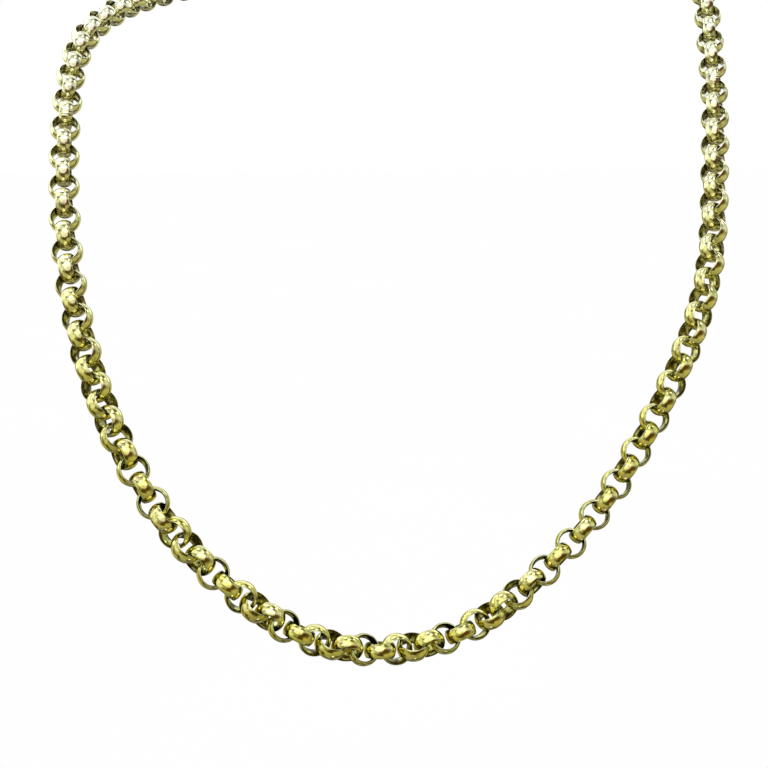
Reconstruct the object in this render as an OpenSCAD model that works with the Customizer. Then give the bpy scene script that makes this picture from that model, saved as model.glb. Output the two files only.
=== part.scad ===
// Rolo neck chain in its worn form: one closed loop of round links with a plain clasp at the nape.
// +Z is up, the wearer faces -Y, and the origin is at the nape, in the middle of the clasp.

/* [Link] */
// Outer diameter of a link
link_od = 5.1; // [4.8:0.1:5.6]
// Thickness of the band that a link is bent from
link_wall = 0.68; // [0.6:0.02:0.7]
// Width of the band
link_w = 2.15; // [1.9:0.05:2.2]
// Height of the dome on the outside of the band
dome_h = 0.36; // [0.3:0.02:0.38]
// Height of the ridge on the inside of the band
ridge_h = 0.22; // [0.18:0.02:0.24]

/* [Fit] */
// Slack along the chain that keeps links clear where they pass through each other
link_slack = 0.2; // [0.18:0.02:0.24]
// Clear gap between the clasp and each end link
clasp_gap = 0.25; // [0.15:0.05:0.4]

/* [Clasp] */
// Outer diameter of the clasp's ring
clasp_od = 8.6; // [8:0.2:11]
// Diameter of the clasp's wire
clasp_wire = 1.5; // [1.2:0.1:1.7]
// Diameter of the knob on the clasp
knob_d = 1.3; // [0.9:0.1:1.5]
// Height of the knob above the wire
knob_h = 0.9; // [0.5:0.1:2]
// Turn of the knob from straight up
knob_turn = 35; // [0:5:50]

/* [Hidden] */
gold = [0.78, 0.7, 0.38];

// Centre line of the loop, chosen by hand: from the nape round the viewer's left, the front and the right
ROUTE = [
    [0, 0, 0], [-20.5, -2.5, -1.5], [-39.5, -13, -6.5], [-52, -30, -12.5],
    [-59, -46.5, -21.5], [-61, -65, -39.5], [-59.5, -82, -61.5], [-53, -95, -82],
    [-41.2, -102.5, -99.3], [-23, -104.5, -112.5], [-2, -102, -113.3], [17.5, -98, -101],
    [32.5, -93, -83], [44, -86, -62], [50.5, -73, -40.5], [56, -56.5, -20],
    [58.5, -41.5, -4.5], [54, -23, 3], [39.5, -8.5, 3.5], [20.5, -2, 1.5],
];

// How the chain twists: [share of the loop's length, turn of the links in degrees]
TWIST = [
    [0, -100], [0.155, -14], [0.2, -20], [0.235, -13], [0.28, -1], [0.295, 3], [0.345, 33],
    [0.377, 76], [0.392, 112], [0.411, 160], [0.418, 176], [0.485, 390], [0.52, 490],
    [0.54, 522], [0.565, 536], [0.61, 552], [0.64, 567], [0.675, 580], [0.75, 605],
    [0.8, 622], [1, 620],
];

// How slack the links lie: [share of the loop's length, play of each link in mm]
PLAY = [
    [0, 0], [0.16, 0.02], [0.18, 0.1], [0.28, 0.13], [0.3, 0.22], [0.36, 0.22],
    [0.39, 0.03], [0.5, 0.03], [0.52, 0.06], [0.55, 0.2], [0.59, 0.16], [0.6, 0.06],
    [0.67, 0.05], [0.69, 0.3], [0.75, 0.3], [0.77, 0.05], [1, 0.05],
];

// Direction that a link with no turn faces
FACING = [-0.17, -0.97, 0.17];

// Samples for each stretch between two points of the route
steps = 12;
facets = 48;
// Share of the band's half width that a bend of the chain takes from the spacing
bend_share = 1.4;

link_r = link_od / 2;
inner_r = link_r - link_wall;
edge_r = inner_r + ridge_h;
half_w = link_w / 2;
ring_r = (clasp_od - clasp_wire) / 2;
clasp_inner_r = clasp_od / 2 - clasp_wire;
// Distance from the clasp's middle to the centre of an end link
clasp_reach = clasp_inner_r + inner_r - clasp_gap;

function unit(v) = v / norm(v);
function route_at(i) = ROUTE[(i + len(ROUTE)) % len(ROUTE)];

// Smooth closed curve through the route's points, and its direction
function curve(t) =
    let (i = floor(t), f = t - i, a = route_at(i - 1), b = route_at(i), c = route_at(i + 1), d = route_at(i + 2))
    b + (c - a) * f / 2 + (2 * a - 5 * b + 4 * c - d) * f * f / 2 + (3 * b - a - 3 * c + d) * f * f * f / 2;
function heading(t) =
    let (i = floor(t), f = t - i, a = route_at(i - 1), b = route_at(i), c = route_at(i + 1), d = route_at(i + 2))
    unit((c - a) / 2 + (2 * a - 5 * b + 4 * c - d) * f + (3 * b - a - 3 * c + d) * f * f * 3 / 2);

// Running total of a list of numbers, one entry longer than the list
function running(v) = [for (i = 0, s = 0; i <= len(v); s = s + (i < len(v) ? v[i] : 0), i = i + 1) s];

// Length along the loop at each sample
last = len(ROUTE) * steps;
points = [for (j = [0:last]) curve(j / steps)];
along = running([for (j = [1:last]) norm(points[j] - points[j - 1])]);
loop_len = along[last];

function turn_at(s) = lookup(s / loop_len, TWIST);

// Axis of a link at a place on the curve, square to the chain and turned from the facing direction
function axis_at(t, turn) =
    let (ahead = heading(t), face = unit(FACING - ahead * (FACING * ahead)))
    face * cos(turn) + cross(ahead, face) * sin(turn);

// Farthest that two links can lie apart when one is turned by d degrees from square to the other
function taut(d) = 2 * sqrt(edge_r * edge_r - pow(half_w * (1 + sin(d)) / cos(d), 2));
// Spacing of the links for a turn and a bend of so many degrees for each millimetre, found in a few rounds
function pitch(turn, bend, slack, p, rounds = 6) =
    rounds == 0 ? p : pitch(turn, bend, slack, taut(turn * p) - bend_share * half_w * sin(bend * p) - slack, rounds - 1);

// Number of links up to each sample
headings = [for (j = [0:last]) heading(j / steps)];
axes = [for (j = [0:last]) axis_at(j / steps, turn_at(along[j]))];
counts = running([
    for (j = [1:last])
        let (
            step = along[j] - along[j - 1],
            turn = asin(min(1, abs(axes[j] * cross(headings[j], axes[j - 1])))) / step,
            bend = acos(min(1, headings[j] * headings[j - 1])) / step,
            slack = link_slack + lookup(along[j] / loop_len, PLAY)
        )
        step / pitch(turn, bend, slack, link_od / 2)
]);
count_along = [for (j = [0:last]) [along[j], counts[j]]];
along_count = [for (j = [0:last]) [counts[j], along[j]]];
sample_along = [for (j = [0:last]) [along[j], j / steps]];
first = lookup(clasp_reach, count_along);
room = lookup(loop_len - clasp_reach, count_along) - first;
// An even number of gaps, so that both end links lie the same way at the clasp
gaps = 2 * ceil(room / 2);

// Band section on the +X side of the link's axis: domed outside, with a low ridge inside
module band() {
    dome_r = (half_w * half_w + dome_h * dome_h) / (2 * dome_h);
    intersection() {
        translate([link_r - dome_r, 0]) circle(r = dome_r, $fn = facets);
        polygon([
            [inner_r, 0], [edge_r, -half_w], [link_od, -half_w], [link_od, half_w], [edge_r, half_w],
        ]);
    }
}

module link() {
    rotate_extrude($fn = facets) band();
}

// Put a link at a length along the loop, its X along the chain and its ring facing the turned direction
module place(s, turn) {
    t = lookup(s, sample_along);
    ahead = heading(t);
    axis = axis_at(t, turn);
    across = cross(axis, ahead);
    c = curve(t);
    multmatrix([
        [ahead[0], across[0], axis[0], c[0]],
        [ahead[1], across[1], axis[1], c[1]],
        [ahead[2], across[2], axis[2], c[2]],
    ]) children();
}

module chain() {
    color(gold)
        for (i = [0:gaps]) {
            s = lookup(first + room * i / gaps, along_count);
            place(s, turn_at(s) + 90 * (i % 2)) link();
        }
}

module clasp() {
    color(gold) {
        rotate([90, 0, 0])
            rotate_extrude($fn = facets) translate([ring_r, 0]) circle(d = clasp_wire, $fn = facets);
        rotate([0, knob_turn, 0]) {
            translate([0, 0, ring_r]) cylinder(h = clasp_wire / 2 + knob_h, d = knob_d, $fn = facets);
            translate([0, 0, ring_r + clasp_wire / 2 + knob_h]) sphere(d = knob_d, $fn = facets);
        }
    }
}

chain();
clasp();
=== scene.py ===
"""The looks of a worn gold rolo neck chain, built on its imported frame.

Each link of the frame is measured, and a finer ring of the same size takes its place, with softened
edges, a solder seam, shallow dents and, on some links, nicks from wear. A plain clasp closes the loop.
Lengths that end in _MM are in millimetres and all others in metres."""

import math

import bpy
import numpy as np
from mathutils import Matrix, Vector


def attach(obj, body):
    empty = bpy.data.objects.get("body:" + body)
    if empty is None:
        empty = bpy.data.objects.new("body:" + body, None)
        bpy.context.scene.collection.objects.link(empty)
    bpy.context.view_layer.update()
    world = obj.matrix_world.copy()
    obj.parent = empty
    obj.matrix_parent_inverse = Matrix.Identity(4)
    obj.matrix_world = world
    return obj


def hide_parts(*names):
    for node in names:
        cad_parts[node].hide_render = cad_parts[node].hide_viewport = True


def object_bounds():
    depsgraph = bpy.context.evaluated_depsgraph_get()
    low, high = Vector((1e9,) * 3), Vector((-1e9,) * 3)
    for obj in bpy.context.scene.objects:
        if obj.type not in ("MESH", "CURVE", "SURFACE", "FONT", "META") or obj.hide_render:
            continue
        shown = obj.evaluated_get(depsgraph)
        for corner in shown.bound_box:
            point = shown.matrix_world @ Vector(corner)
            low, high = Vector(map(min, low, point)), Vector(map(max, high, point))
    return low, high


MM = 0.001
SEED = 5
CHAIN, CLASP = "chain", "clasp"

# Runs of links, from the nape round the viewer's left, the front and the right: name, share of the links at its end
RUNS = (("links_nape_left", 0.25), ("links_front_left", 0.5), ("links_front_right", 0.75), ("links_nape_right", 1.0))

# Measuring the frame: points closer than WELD are one point, and a rim starts at this share of the band's half width
WELD = 1e-7
RIM_SHARE = 0.98

# Mesh of a link: steps round it, points across each side of the band, and rounding of its edges
AROUND = 112
ARC_POINTS = 7
EDGE_ROUND_MM = 0.075
# Where a rim has its shoulders, as a share of the way out and up
RIM_SHOULDER = 0.75
# Depth inside the band, 0 in the middle of the outside and 1 in the middle of the inside
OUTER_EDGE_DEPTH, RIM_DEPTHS, INNER_EDGE_DEPTH = 0.1, (0.15, 0.3, 0.5), 0.6

# Mesh of the clasp: steps round its wire and knob, and how far a point stands out from the ring to be the knob's
WIRE_AROUND = 24
KNOB_CLEAR_MM = 0.1
# The knob's outline in radii, as distance from its axis and height above its tip
KNOB_OUTLINE = (
    (0.8, -3.2), (0.8, -2.3), (0.84, -2.08), (0.95, -1.9), (1, -1.65), (1, -1), (0.94, -0.66), (0.8, -0.4),
    (0.6, -0.2), (0.35, -0.06), (0.1, 0),
)

# Wear of the outside of the links, which fades out between two depths inside the band
WEAR_DEPTHS = (0.15, 0.5)
# What is worn off all over
POLISH_MM = 0.015
# Solder seam: half width and depth
SEAM_MM, SEAM_DEPTH_MM = 0.12, 0.02
# Dents: depth, shared among waves round the link, the least that a wave takes of its share, and the most it leans
DENT_MM, DENT_WAVES, DENT_LEAST, DENT_LEAN = 0.05, (2, 3, 5, 8, 11), 0.3, 2.5
# Nicks: share of the links that have them, depth, spacing, reach round the link in radians, and slant
NICKED_SHARE, NICK_DEPTH_MM, NICK_PITCH_MM, NICK_SPAN, NICK_SLANT = 0.2, 0.07, 0.5, 0.5, 0.8

# Colours of the metal and of the light and shade painted on it, linear
PALE_GOLD = (0.8, 0.77, 0.25, 1)
RICH_GOLD = (0.82, 0.67, 0.12, 1)
# Pale gold of paler links and rubbed patches, also used as painted light on the lips and towards the nape
WHITE_GOLD_AND_PAINTED_LIGHT = (0.97, 0.95, 0.7, 1)
# Painted reflection: dark olive on the band's outer edges
OLIVE_REFLECTION = (0.33, 0.35, 0.1, 1)
# Grime, also used as painted shade inside the links
GRIME_AND_SHADE = (0.04, 0.024, 0.002, 1)
# Patches on the metal: waves for each millimetre, detail, the noise that they grow between, and their greatest share
RICH_CLOUDS = (0.5, 3, 0.35, 0.65, 1)
RUBBED_PATCHES = (0.5, 2, 0.48, 0.62, 0.35)
DIRT_SPECKS = (1, 3, 0.54, 0.66, 0.4)
# Grime with painted shade, in patches on the inside of the band
GRIME_AND_SHADE_PATCHES = (0.8, 4, 0.45, 0.58, 0.95)
# Heights between which the chain changes towards the nape, and shares at the nape of painted light that makes it
# paler, of the painted olive reflection and of grime with painted shade
NAPE_HEIGHTS = (-0.08, -0.015)
NAPE_PAINTED_LIGHT, NAPE_OLIVE_REFLECTION, NAPE_GRIME_AND_SHADE = 0.9, 0.1, 0.75
# Random tones from which a link is paler, and by how much
PALER_TONES, PALER_SHARE = (0.6, 1), 0.2
# Depths inside the band between which paint grows or fades, and its greatest share
# Painted olive reflection on the band's outer edges
OLIVE_REFLECTION_DEPTHS, OLIVE_REFLECTION_SHARE = (0.03, 0.1), 0.6
# Painted highlight: a pale line along the rims' lips
LIP_HIGHLIGHT_DEPTHS, LIP_HIGHLIGHT_END_DEPTHS, LIP_HIGHLIGHT_SHARE = (0.12, 0.2), (0.5, 0.3), 0.6
# Grime with painted shade inside the band, and painted shade that darkens the inner edges of the rims
GRIME_AND_SHADE_DEPTHS = (0.3, 0.5)
SHADED_CORNER_DEPTHS, SHADED_CORNER_SHARE = (0.85, 0.7), 0.9
# Two sets of fine scratches: waves for each millimetre, detail, stretch and turn
SCRATCHES = ((1.2, 2, (9, 1, 1), (0.4, 0.9, 0.2)), (1.3, 2, (1, 1, 8), (1.1, 0.3, 0.7)))
SCRATCH_MM, SCRATCH_STRENGTH = 0.03, 0.2
# Roughness: scratches from and to, the roughness there, and what dirt, grime and painted shade add
SCRATCH_ROUGHNESS, DIRT_ROUGHNESS = (0.15, 0.4, 0.1, 0.18), 0.15
# Soft hammered bump: waves for each millimetre, detail, and height
HAMMER_NOISE, HAMMER_MM = (0.4, 1), 0.08

# Camera: where it stands, how far it looks to the right and down in degrees, its lens and sensor in millimetres
CAMERA_AT = (-0.048, -0.298, -0.038)
CAMERA_YAW, CAMERA_DOWN, CAMERA_LENS, CAMERA_SENSOR = 10, 10, 63.05, 36

# Background and floor
BACKGROUND, FLOOR_SHADE = (1, 1, 1, 1), (0.985, 0.985, 0.985, 1)
FLOOR_Z, FLOOR_HALF, FLOOR_MOTTLE = -0.4, 20, 3

# Studio that the metal reflects: sine of the height above the horizon, and colour
SKY = (
    (-1.0, (0.34, 0.36, 0.2)), (-0.75, (0.4, 0.4, 0.19)), (-0.4, (0.58, 0.55, 0.24)), (0.0, (0.52, 0.57, 0.32)),
    (0.3, (0.54, 0.6, 0.42)), (0.6, (0.76, 0.84, 0.7)), (1.0, (0.82, 0.9, 0.9)),
)
# Its dark part in front of the chain: colour, azimuth and height in degrees, flatness, and its full and its last reach
DARK = (0.11, 0.055, 0.004, 1)
DARK_AZIMUTH, DARK_HEIGHT, DARK_FLATNESS, DARK_INNER, DARK_OUTER = 24, 7, 2, 0.52, 1.05
# Its pale patches above and its dim patches all round: scale, the noise that they grow between, and colour
PATCH_DETAIL = 1
PALE_SCALE, PALE_NOISE, PALE_COLOUR = 1.6, (0.5, 0.6), (1.25, 1.3, 1.6, 1)
DIM_SCALE, DIM_NOISE, DIM_COLOUR = 1.7, (0.5, 0.6), (0.05, 0.028, 0.001, 1)
DIM_SHARE, DIM_SHIFT = 0.95, (9, 9, 1)
# Heights from 0 to 1 between which the pale patches grow, and their shares there
PALE_RISE = (0.5, 0.75, 0.1, 1)

# Lamps round the chain: azimuth and height in degrees, distance, diameter and brightness
LAMPS = (
    (-110, 22, 0.18, 0.22, 1), (130, 25, 0.18, 0.12, 1), (10, -66, 0.32, 0.05, 2), (-11, 25, 0.225, 0.26, 0.95),
    (-65, 5, 0.3, 0.25, 0.5),
)
# Rings of lamps above it: height and first azimuth in degrees, count, distance, diameter and brightness
LAMP_RINGS = ((44, -20, 3, 0.8, 0.24, 2.8), (72, 40, 2, 0.75, 0.24, 2.8))
LAMP_COLOUR = (0.85, 0.87, 1)


# Measuring the frame

def solids_of(obj):
    """The points of each loose solid of an object, as a list of arrays."""
    mesh = obj.data
    points = np.empty(len(mesh.vertices) * 3)
    mesh.vertices.foreach_get("co", points)
    points = points.reshape(-1, 3)
    edges = np.empty(len(mesh.edges) * 2, np.int64)
    mesh.edges.foreach_get("vertices", edges)
    keys = np.round(points / WELD).astype(np.int64)
    _, first, same = np.unique(keys, axis=0, return_index=True, return_inverse=True)
    a, b = same.reshape(-1)[edges.reshape(-1, 2)].T
    # Each point takes the lowest label among its neighbours until every solid has one label
    label = np.arange(len(first))
    before = None
    while before is None or (label != before).any():
        before = label.copy()
        low = np.minimum(label[a], label[b])
        np.minimum.at(label, a, low)
        np.minimum.at(label, b, low)
        label = label[label]
    order = np.argsort(label, kind="stable")
    cuts = np.flatnonzero(np.diff(label[order])) + 1
    return [points[first[part]] for part in np.split(order, cuts)]


def in_order(centres):
    """The indices of the links as they follow each other, from the nape round the viewer's left."""
    left_side = [i for i in range(len(centres)) if centres[i][0] < 0]
    at = min(left_side, key=lambda i: np.linalg.norm(centres[i]))
    order, left = [at], set(range(len(centres))) - {at}
    while left:
        at = min(left, key=lambda i: np.linalg.norm(centres[i] - centres[at]))
        order.append(at)
        left.remove(at)
    return order


def measured_links(obj):
    """Each link's centre and axes, with X along the chain and Z its ring's axis, and the size of one link."""
    solids = solids_of(obj)
    centres = [s.mean(0) for s in solids]
    order = in_order(centres)
    solids, centres = [solids[i] for i in order], np.array([centres[i] for i in order])
    links = []
    for i, (points, centre) in enumerate(zip(solids, centres)):
        axis = np.linalg.svd(points - centre, full_matrices=False)[2][2]
        after, before = centres[min(i + 1, len(centres) - 1)], centres[max(i - 1, 0)]
        ahead = after - before
        ahead -= axis * (ahead @ axis)
        ahead /= np.linalg.norm(ahead)
        links.append((centre, np.array([ahead, np.cross(axis, ahead), axis])))
    local = (solids[0] - centres[0]) @ links[0][1].T
    reach, height = np.hypot(local[:, 0], local[:, 1]), np.abs(local[:, 2])
    rim = height > RIM_SHARE * height.max()
    size = {
        "outer": reach.max(), "inner": reach.min(), "half": height.max(),
        "rim_outer": reach[rim].max(), "rim_inner": reach[rim].min(),
    }
    return links, size


# Shapes

def bow(size, top, edge, half):
    """Distances from the axis and heights along an arc across the band, from -half to half.

    The arc would lie as far as top in the middle and as far as edge at the band's full height."""
    across = np.linspace(-half, half, ARC_POINTS)
    rise = abs(top - edge)
    radius = (size["half"] ** 2 + rise ** 2) / (2 * rise)
    sink = radius - np.sqrt(radius ** 2 - across ** 2)
    return np.column_stack([top + math.copysign(1, edge - top) * sink, across])


def band_section(size):
    """The band's closed outline as distance from the axis and height, and each point's depth inside the band."""
    edge = EDGE_ROUND_MM * MM
    half = size["half"] - edge
    outer = bow(size, size["outer"], size["rim_outer"], half)
    inner = bow(size, size["inner"], size["rim_inner"], half)[::-1]
    middle = (size["rim_outer"] + size["rim_inner"]) / 2
    lip = min(edge, (size["rim_outer"] - size["rim_inner"]) / 2) * RIM_SHOULDER
    shoulder = half + edge * RIM_SHOULDER
    top = [(middle + lip, shoulder), (middle, size["half"]), (middle - lip, shoulder)]
    low = [(r, -z) for r, z in reversed(top)]
    outline = np.concatenate([outer, top, inner, low])
    outer_depth = OUTER_EDGE_DEPTH * (outer[:, 1] / half) ** 2
    inner_depth = 1 - (1 - INNER_EDGE_DEPTH) * (inner[:, 1] / half) ** 2
    depth = np.concatenate([outer_depth, RIM_DEPTHS, inner_depth, RIM_DEPTHS[::-1]])
    return outline, depth


def from_random_place(turn, rng):
    """Angles counted from a random place round the link, between minus and plus half a turn."""
    return np.angle(np.exp(1j * (turn - rng.uniform(0, math.tau))))


def wear(turn, height, size, rng):
    """How far the outside of one link is worn in, for every point round the band and across it."""
    worn = np.full(np.broadcast_shapes(turn.shape, height.shape), POLISH_MM)
    for wave in DENT_WAVES:
        share = rng.uniform(DENT_LEAST, 1) * DENT_MM / wave
        lean = rng.uniform(-DENT_LEAN, DENT_LEAN) / size["half"]
        worn = worn + share * (1 + np.cos(wave * turn + lean * height + rng.uniform(0, math.tau)))
    radius = size["outer"] / MM
    seam = from_random_place(turn, rng) * radius
    worn = worn + SEAM_DEPTH_MM * np.exp(-((seam / SEAM_MM) ** 2))
    if rng.random() < NICKED_SHARE:
        place = from_random_place(turn, rng)
        along = turn * radius + height / MM * rng.uniform(-NICK_SLANT, NICK_SLANT)
        ridge = np.cos(math.tau * along / NICK_PITCH_MM)
        worn = worn + NICK_DEPTH_MM * np.exp(-((place / NICK_SPAN) ** 4)) * np.clip(ridge, 0, 1)
    return worn * MM


def steps_round(count):
    """Angles of the steps of a full turn, as a column."""
    return (np.arange(count) / count * math.tau)[:, None]


def turned(reach, height):
    """Points of a section turned about the Z axis, from each point's distance and height, with a row for each step."""
    turn = steps_round(len(reach))
    points = np.stack([reach * np.cos(turn), reach * np.sin(turn), np.broadcast_to(height, reach.shape)], -1)
    return points.reshape(-1, 3)


def link_points(size, rng):
    """The points of one link about its own centre, in rings round the axis, and each point's depth inside the band."""
    outline, depth = band_section(size)
    height = outline[None, :, 1]
    worn = wear(steps_round(AROUND), height, size, rng) * np.interp(depth, WEAR_DEPTHS, (1, 0))
    return turned(outline[None, :, 0] - worn, height), np.tile(depth, AROUND)


def ring_faces(around, across, has_ends=False):
    """Four-sided faces between the sections of a closed ring, each section closed as well unless it has ends."""
    i, j = np.meshgrid(np.arange(around), np.arange(across - has_ends), indexing="ij")
    k, m = (i + 1) % around, (j + 1) % across
    corners = [i * across + j, k * across + j, k * across + m, i * across + m]
    return np.stack(corners, -1).reshape(-1, 4)


# Objects

def new_mesh(name, points, faces, material):
    """A mesh of one material."""
    mesh = bpy.data.meshes.new(name)
    mesh.from_pydata(points, [], faces)
    mesh.materials.append(material)
    return mesh


def put(name, data):
    """A new object in the scene."""
    obj = bpy.data.objects.new(name, data)
    bpy.context.scene.collection.objects.link(obj)
    return obj


def new_piece(name, points, faces, material, node):
    """A smooth mesh that rides on the part and takes a node's place."""
    mesh = new_mesh(name, points.tolist(), faces, material)
    mesh.shade_smooth()
    piece = put(name, mesh)
    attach(piece, "root")
    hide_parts(node)
    return piece


def give(piece, name, values):
    """Keep one number for each point of a piece, for its material."""
    piece.data.attributes.new(name, "FLOAT", "POINT").data.foreach_set("value", np.asarray(values, np.float32))


def make_links(node, material):
    """The chain's links, in a few runs of neighbours."""
    links, size = measured_links(node)
    rng = np.random.default_rng(SEED)
    link_faces = ring_faces(AROUND, len(band_section(size)[0]))
    start = 0
    for name, share in RUNS:
        end = round(share * len(links))
        points, faces, depths, tones = [], [], [], []
        for centre, axes in links[start:end]:
            own, depth = link_points(size, rng)
            faces.append(link_faces + len(points) * len(own))
            points.append(own @ axes + centre)
            depths.append(depth)
            tones.append(np.full(len(own), rng.random()))
        piece = new_piece(name, np.concatenate(points), np.concatenate(faces).tolist(), material, CHAIN)
        give(piece, "depth", np.concatenate(depths))
        give(piece, "tone", np.concatenate(tones))
        start = end


def make_clasp(node, material):
    """The plain clasp: a ring of lightly dented wire and its knob, both measured from the frame."""
    points = np.concatenate(solids_of(node))
    wire, reach = np.ptp(points[:, 1]) / 2, np.hypot(points[:, 0], points[:, 2])
    outer = -points[:, 2].min()
    rng = np.random.default_rng(SEED)

    turn, angle = steps_round(AROUND), steps_round(WIRE_AROUND).T
    thick = np.full((AROUND, WIRE_AROUND), wire)
    for wave in DENT_WAVES:
        dent = rng.uniform(DENT_LEAST, 1) * DENT_MM * MM / wave
        thick -= dent * (1 + np.cos(wave * turn + angle + rng.uniform(0, math.tau)))
    ring = turned(outer - wire + thick * np.cos(angle), thick * np.sin(angle))
    upright = np.array(((1, 0, 0), (0, 0, -1), (0, 1, 0)))
    new_piece("clasp_ring", ring @ upright, ring_faces(AROUND, WIRE_AROUND).tolist(), material, CLASP)

    beyond = points[reach > outer + KNOB_CLEAR_MM * MM]
    way = beyond.mean(0) * (1, 0, 1)
    way /= np.linalg.norm(way)
    side = np.array((0, 1, 0))
    outline = np.array(KNOB_OUTLINE) * np.ptp(beyond[:, 1]) / 2 + (0, reach.max())
    count = len(outline)
    knob = turned(np.tile(outline[:, 0], (WIRE_AROUND, 1)), outline[:, 1])
    foot, tip = range(0, WIRE_AROUND * count, count), range(count - 1, WIRE_AROUND * count, count)
    faces = ring_faces(WIRE_AROUND, count, has_ends=True).tolist() + [list(tip), list(foot)[::-1]]
    knob = knob @ np.array((np.cross(side, way), side, way))
    new_piece("clasp_knob", knob, faces, material, CLASP)


# Materials

def feed(tree, socket, value):
    """Join another node's output to a socket, or set the socket to a value."""
    if isinstance(value, bpy.types.NodeSocket):
        tree.links.new(value, socket)
    else:
        socket.default_value = value


def add(tree, kind, **inputs):
    """A node with its inputs fed. Underscores in their names stand for spaces."""
    node = tree.nodes.new("ShaderNode" + kind)
    for name, value in inputs.items():
        feed(tree, node.inputs[name.replace("_", " ")], value)
    return node


def mix(tree, share, first, second):
    """The mix of two colours by a share that varies over the surface."""
    node = tree.nodes.new("ShaderNodeMix")
    node.data_type = "RGBA"
    # Colour sockets go by number, since those for numbers and vectors have the same names
    for socket, value in zip((node.inputs["Factor"], node.inputs[6], node.inputs[7]), (share, first, second)):
        feed(tree, socket, value)
    return node.outputs[2]


def ramp(tree, value, low, high, to_low=0, to_high=1):
    """A value brought from one range to another and held there."""
    node = add(tree, "MapRange", Value=value, From_Min=low, From_Max=high, To_Min=to_low, To_Max=to_high)
    return node.outputs["Result"]


def maths(tree, operation, a, b):
    """Two values brought together by a node."""
    node = tree.nodes.new("ShaderNodeMath")
    node.operation = operation
    feed(tree, node.inputs[0], a)
    feed(tree, node.inputs[1], b)
    return node.outputs[0]


def times(tree, a, b):
    """The product of two values."""
    return maths(tree, "MULTIPLY", a, b)


def larger(tree, a, b):
    """The larger of two values."""
    return maths(tree, "MAXIMUM", a, b)


def vector_math(tree, operation, vector, other):
    """Two vectors brought together by a node."""
    node = tree.nodes.new("ShaderNodeVectorMath")
    node.operation = operation
    feed(tree, node.inputs[0], vector)
    feed(tree, node.inputs[1], other)
    return node.outputs["Vector"]


def length(tree, vector):
    """The length of a vector."""
    node = tree.nodes.new("ShaderNodeVectorMath")
    node.operation = "LENGTH"
    feed(tree, node.inputs[0], vector)
    return node.outputs["Value"]


def up_of(tree, place):
    """The Z part of a vector."""
    return add(tree, "SeparateXYZ", Vector=place).outputs["Z"]


def noise(tree, place, per_mm, detail, stretch=(1, 1, 1), turn=(0, 0, 0)):
    """Noise with so many waves for each millimetre, stretched and turned."""
    mapping = add(tree, "Mapping", Vector=place, Scale=stretch, Rotation=turn)
    return add(tree, "TexNoise", Vector=mapping.outputs[0], Scale=per_mm / MM, Detail=detail).outputs["Fac"]


def patches(tree, place, per_mm, detail, low, high, most):
    """Patches that grow from nothing to their greatest share between two values of a noise."""
    return ramp(tree, noise(tree, place, per_mm, detail), low, high, 0, most)


def attribute(tree, name):
    """A number that is kept for each point of a piece."""
    node = tree.nodes.new("ShaderNodeAttribute")
    node.attribute_name = name
    return node.outputs["Fac"]


def new_material(name):
    """A material, its node tree, and the place on the object."""
    material = bpy.data.materials.new(name)
    material.use_nodes = True
    tree = material.node_tree
    return material, tree, tree.nodes.new("ShaderNodeTexCoord").outputs["Object"]


def marked_gold(tree, place, colour, dirt_and_shade):
    """The gold's colour and dirt mask with what a link has besides: its own tone, painted olive reflection on its
    edges, a painted highlight on its lips, and grime with painted shade inside.
    """
    depth, height = attribute(tree, "depth"), up_of(tree, place)
    colour = mix(tree, ramp(tree, attribute(tree, "tone"), *PALER_TONES, 0, PALER_SHARE), colour, WHITE_GOLD_AND_PAINTED_LIGHT)

    # Painted reflection: dark olive on the band's outer edges, less of it towards the nape
    olive_reflection = ramp(tree, depth, *OLIVE_REFLECTION_DEPTHS, 0, OLIVE_REFLECTION_SHARE)
    olive_reflection = times(tree, olive_reflection, ramp(tree, height, *NAPE_HEIGHTS, 1, NAPE_OLIVE_REFLECTION))
    colour = mix(tree, olive_reflection, colour, OLIVE_REFLECTION)

    # Painted highlight: a pale line along each rim's lip
    lip = times(tree, ramp(tree, depth, *LIP_HIGHLIGHT_DEPTHS, 0, LIP_HIGHLIGHT_SHARE), ramp(tree, depth, *LIP_HIGHLIGHT_END_DEPTHS))
    colour = mix(tree, lip, colour, WHITE_GOLD_AND_PAINTED_LIGHT)

    # Painted shade: dark along the inner edges of the rims and, mixed with grime, in patches on the inner walls
    corners = ramp(tree, depth, *SHADED_CORNER_DEPTHS, 0, SHADED_CORNER_SHARE)
    grime_and_shade = larger(tree, patches(tree, place, *GRIME_AND_SHADE_PATCHES), corners)
    grime_and_shade = times(tree, grime_and_shade, ramp(tree, height, *NAPE_HEIGHTS, 1, NAPE_GRIME_AND_SHADE))
    grime_and_shade = times(tree, grime_and_shade, ramp(tree, depth, *GRIME_AND_SHADE_DEPTHS))
    return colour, larger(tree, dirt_and_shade, grime_and_shade)


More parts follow.
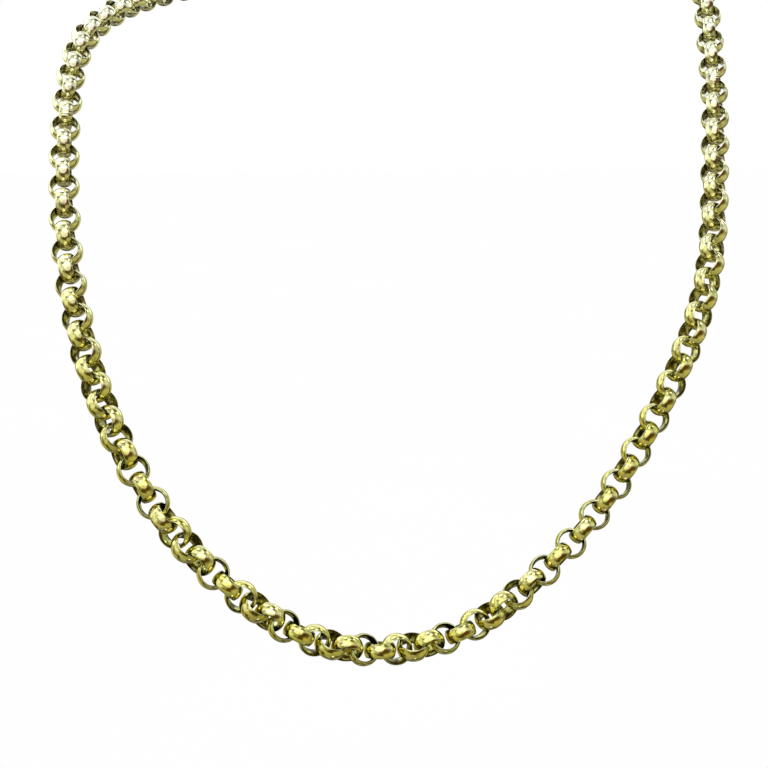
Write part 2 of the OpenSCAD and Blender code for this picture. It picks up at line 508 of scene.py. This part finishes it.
def make_gold(name, is_link):
    """Worn polished gold in clouds of paler and richer colour, with painted light that makes it paler towards the
    nape.
    """
    material, tree, place = new_material(name)
    shader = tree.nodes["Principled BSDF"]

    colour = mix(tree, patches(tree, place, *RICH_CLOUDS), PALE_GOLD, RICH_GOLD)
    colour = mix(tree, patches(tree, place, *RUBBED_PATCHES), colour, WHITE_GOLD_AND_PAINTED_LIGHT)
    # Painted light: the gold is painted paler towards the nape
    colour = mix(tree, ramp(tree, up_of(tree, place), *NAPE_HEIGHTS, 0, NAPE_PAINTED_LIGHT), colour, WHITE_GOLD_AND_PAINTED_LIGHT)
    dirt_and_shade = patches(tree, place, *DIRT_SPECKS)
    if is_link:
        colour, dirt_and_shade = marked_gold(tree, place, colour, dirt_and_shade)
    # Dirt specks and, on the links, grime with painted shade darken the colour
    feed(tree, shader.inputs["Base Color"], mix(tree, dirt_and_shade, colour, GRIME_AND_SHADE))

    scratches = times(tree, *(noise(tree, place, *lines) for lines in SCRATCHES))
    rough = ramp(tree, scratches, *SCRATCH_ROUGHNESS)
    feed(tree, shader.inputs["Roughness"], maths(tree, "ADD", rough, times(tree, dirt_and_shade, DIRT_ROUGHNESS)))

    hammered = noise(tree, place, *HAMMER_NOISE)
    bump = add(tree, "Bump", Strength=1, Distance=HAMMER_MM * MM, Height=hammered).outputs[0]
    bump = add(tree, "Bump", Strength=SCRATCH_STRENGTH, Distance=SCRATCH_MM * MM, Height=scratches, Normal=bump)
    feed(tree, shader.inputs["Normal"], bump.outputs[0])
    shader.inputs["Metallic"].default_value = 1
    return material


def make_floor_paint():
    """Plain pale floor, faintly mottled, that looks evenly lit."""
    material, tree, place = new_material("floor_paint")
    mottle = add(tree, "TexNoise", Vector=place, Scale=FLOOR_MOTTLE).outputs["Fac"]
    glow = add(tree, "Emission", Color=mix(tree, mottle, BACKGROUND, FLOOR_SHADE))
    feed(tree, tree.nodes["Material Output"].inputs["Surface"], glow.outputs[0])
    return material


# Studio

def way_to(azimuth, height):
    """Direction from its azimuth and height in degrees; azimuth 0 is the way the wearer faces."""
    a, h = math.radians(azimuth), math.radians(height)
    return Vector((math.sin(a) * math.cos(h), -math.cos(a) * math.cos(h), math.sin(h)))


def make_camera():
    """The camera at the photo's viewing angle."""
    data = bpy.data.cameras.new("camera")
    data.lens, data.sensor_width = CAMERA_LENS, CAMERA_SENSOR
    data.clip_start, data.clip_end = 0.01, 100
    camera = put("camera", data)
    camera.location = CAMERA_AT
    camera.rotation_euler = (math.radians(90 - CAMERA_DOWN), 0, -math.radians(CAMERA_YAW))
    bpy.context.scene.camera = camera


def make_lamps(middle):
    """Soft disks that all face the middle of the chain, each as bright to look at as it says."""
    lamps = list(LAMPS)
    for height, first, count, *rest in LAMP_RINGS:
        lamps += [(first + i * 360 / count, height, *rest) for i in range(count)]
    for i, (azimuth, height, distance, size, bright) in enumerate(lamps):
        light = bpy.data.lights.new(f"lamp_{i}", "AREA")
        light.shape, light.size = "DISK", size
        light.energy = bright * math.pi * math.pi * size * size / 4
        light.color = LAMP_COLOUR
        lamp = put(f"lamp_{i}", light)
        back = way_to(azimuth, height)
        lamp.location = middle + back * distance
        lamp.rotation_euler = back.to_track_quat("Z", "Y").to_euler()
        lamp.visible_camera = False


def sky_colours(tree, up, stops):
    """A colour by height, where 0 is straight below and 1 straight above."""
    ramp_node = add(tree, "ValToRGB", Fac=up)
    elements = ramp_node.color_ramp.elements
    while len(elements) < len(stops):
        elements.new(0.5)
    for element, (height, colour) in zip(elements, stops):
        element.position = (height + 1) / 2
        element.color = (*colour, 1)
    return ramp_node.outputs["Color"]


def studio_patches(tree, way, scale, low, high):
    """Large soft patches by direction."""
    return ramp(tree, add(tree, "TexNoise", Vector=way, Scale=scale, Detail=PATCH_DETAIL).outputs["Fac"], low, high)


def make_world():
    """A studio for the metal to reflect, with pale, dim and dark parts, and a plain background for the camera."""
    world = bpy.data.worlds.new("studio")
    bpy.context.scene.world = world
    world.use_nodes = True
    tree = world.node_tree
    tree.nodes.clear()
    way = tree.nodes.new("ShaderNodeTexCoord").outputs["Generated"]
    up = ramp(tree, up_of(tree, way), -1, 1)

    dim = studio_patches(tree, vector_math(tree, "ADD", way, DIM_SHIFT), DIM_SCALE, *DIM_NOISE)
    sky = mix(tree, times(tree, dim, DIM_SHARE), sky_colours(tree, up, SKY), DIM_COLOUR)
    pale = times(tree, studio_patches(tree, way, PALE_SCALE, *PALE_NOISE), ramp(tree, up, *PALE_RISE))
    sky = mix(tree, pale, sky, PALE_COLOUR)
    aside = vector_math(tree, "SUBTRACT", way, way_to(DARK_AZIMUTH, DARK_HEIGHT))
    aside = length(tree, vector_math(tree, "MULTIPLY", aside, (1, 1, DARK_FLATNESS)))
    sky = mix(tree, ramp(tree, aside, DARK_OUTER, DARK_INNER), sky, DARK)

    seen = mix(tree, tree.nodes.new("ShaderNodeLightPath").outputs["Is Camera Ray"], sky, BACKGROUND)
    light = add(tree, "Background", Color=seen)
    add(tree, "OutputWorld", Surface=light.outputs[0])


def make_floor():
    """The floor, which only the camera sees, so that it doesn't fill the metal's reflections."""
    h, z = FLOOR_HALF, FLOOR_Z
    corners = [(-h, -h, z), (h, -h, z), (h, h, z), (-h, h, z)]
    floor = put("floor", new_mesh("floor", corners, [(0, 1, 2, 3)], make_floor_paint()))
    floor.visible_glossy = floor.visible_diffuse = False


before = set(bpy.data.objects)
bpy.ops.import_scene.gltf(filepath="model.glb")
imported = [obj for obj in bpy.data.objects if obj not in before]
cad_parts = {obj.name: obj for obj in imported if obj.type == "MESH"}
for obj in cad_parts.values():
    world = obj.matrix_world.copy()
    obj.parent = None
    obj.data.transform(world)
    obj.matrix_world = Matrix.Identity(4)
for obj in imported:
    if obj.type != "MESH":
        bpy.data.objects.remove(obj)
cad_low, cad_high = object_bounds()

make_camera()
make_links(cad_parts[CHAIN], make_gold("worn_gold_and_painted_light", is_link=True))
make_clasp(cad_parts[CLASP], make_gold("clasp_gold", is_link=False))
make_lamps((cad_low + cad_high) / 2)
make_world()
make_floor()
bpy.context.scene.view_settings.view_transform = "Standard"
